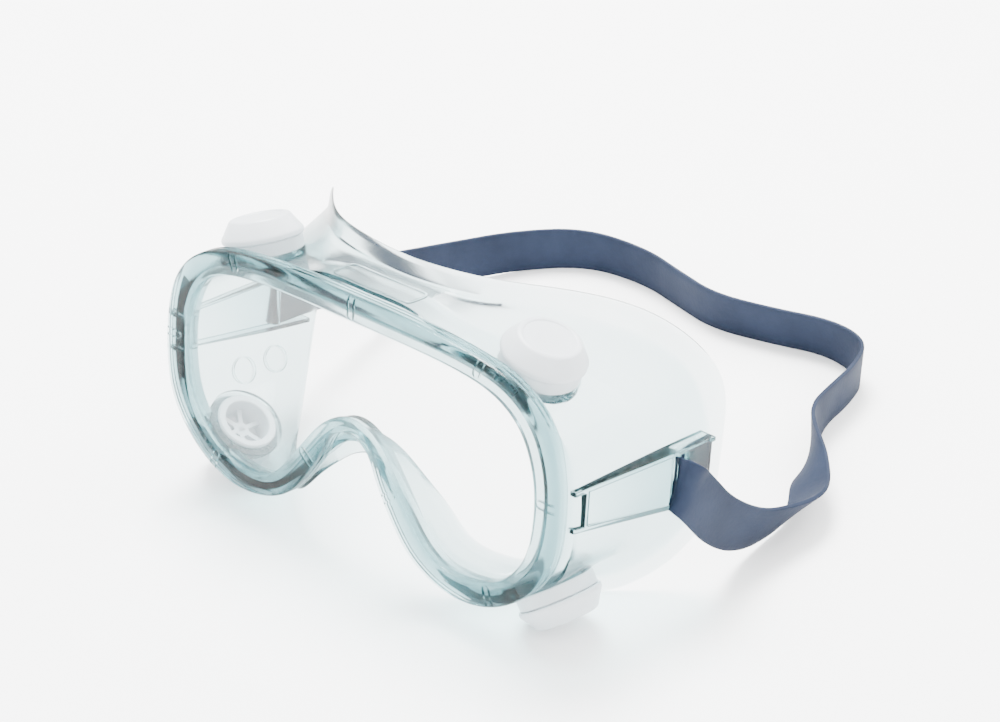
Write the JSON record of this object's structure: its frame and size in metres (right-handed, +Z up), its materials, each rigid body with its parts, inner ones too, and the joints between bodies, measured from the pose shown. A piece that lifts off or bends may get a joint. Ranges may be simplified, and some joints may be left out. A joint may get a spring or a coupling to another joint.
{
  "type": "safety goggles",
  "caption": "Vented safety goggles: soft clear frame with a face flange, flat clear lens, push-on vent caps and a flat rubber head strap",
  "frame": {"origin": "on the table, under the middle of the goggles' own box, the strap not counted", "axes": "+X to the wearer's left, across the goggles, +Y from the lens back towards the face and the strap, +Z up"},
  "size_m": [0.1829, 0.1966, 0.0884],
  "materials": {
    "frame": "soft clear moulded vinyl with a faint blue-green tint, satin",
    "lens": "clear polished polycarbonate sheet",
    "vent": "translucent natural white polyethylene, satin",
    "strap": "matt dark blue-grey moulded rubber band"
  },
  "bodies": {
    "goggles": {"frame": "frame", "lens": "lens", "strap_end_left": "strap", "strap_end_right": "strap", "vent_base_upper_right": "vent", "vent_base_lower_right": "vent", "vent_base_upper_left": "vent", "vent_base_lower_left": "vent"},
    "strap": {"head_strap": "strap"},
    "cap_upper_right": {"vent_cap_upper_right": "vent"},
    "cap_lower_right": {"vent_cap_lower_right": "vent"},
    "cap_upper_left": {"vent_cap_upper_left": "vent"},
    "cap_lower_left": {"vent_cap_lower_left": "vent"}
  },
  "joints": [
    {"name": "strap_swing", "type": "hinge", "parent": "goggles", "child": "strap", "pos_m": [0, 0.02098, 0.03888], "axis": [1, 0, 0], "range_deg": [0, 75]},
    {"name": "cap_upper_right_pull", "type": "slide", "parent": "goggles", "child": "cap_upper_right", "axis": [0.2924, 0.0717, 0.9536], "range_m": [0, 0.012]},
    {"name": "cap_lower_right_pull", "type": "slide", "parent": "goggles", "child": "cap_lower_right", "axis": [0.5736, -0.0614, -0.8168], "range_m": [0, 0.012]},
    {"name": "cap_upper_left_pull", "type": "slide", "parent": "goggles", "child": "cap_upper_left", "axis": [-0.2924, 0.0717, 0.9536], "range_m": [0, 0.012]},
    {"name": "cap_lower_left_pull", "type": "slide", "parent": "goggles", "child": "cap_lower_left", "axis": [-0.5736, -0.0614, -0.8168], "range_m": [0, 0.012]}
  ]
}
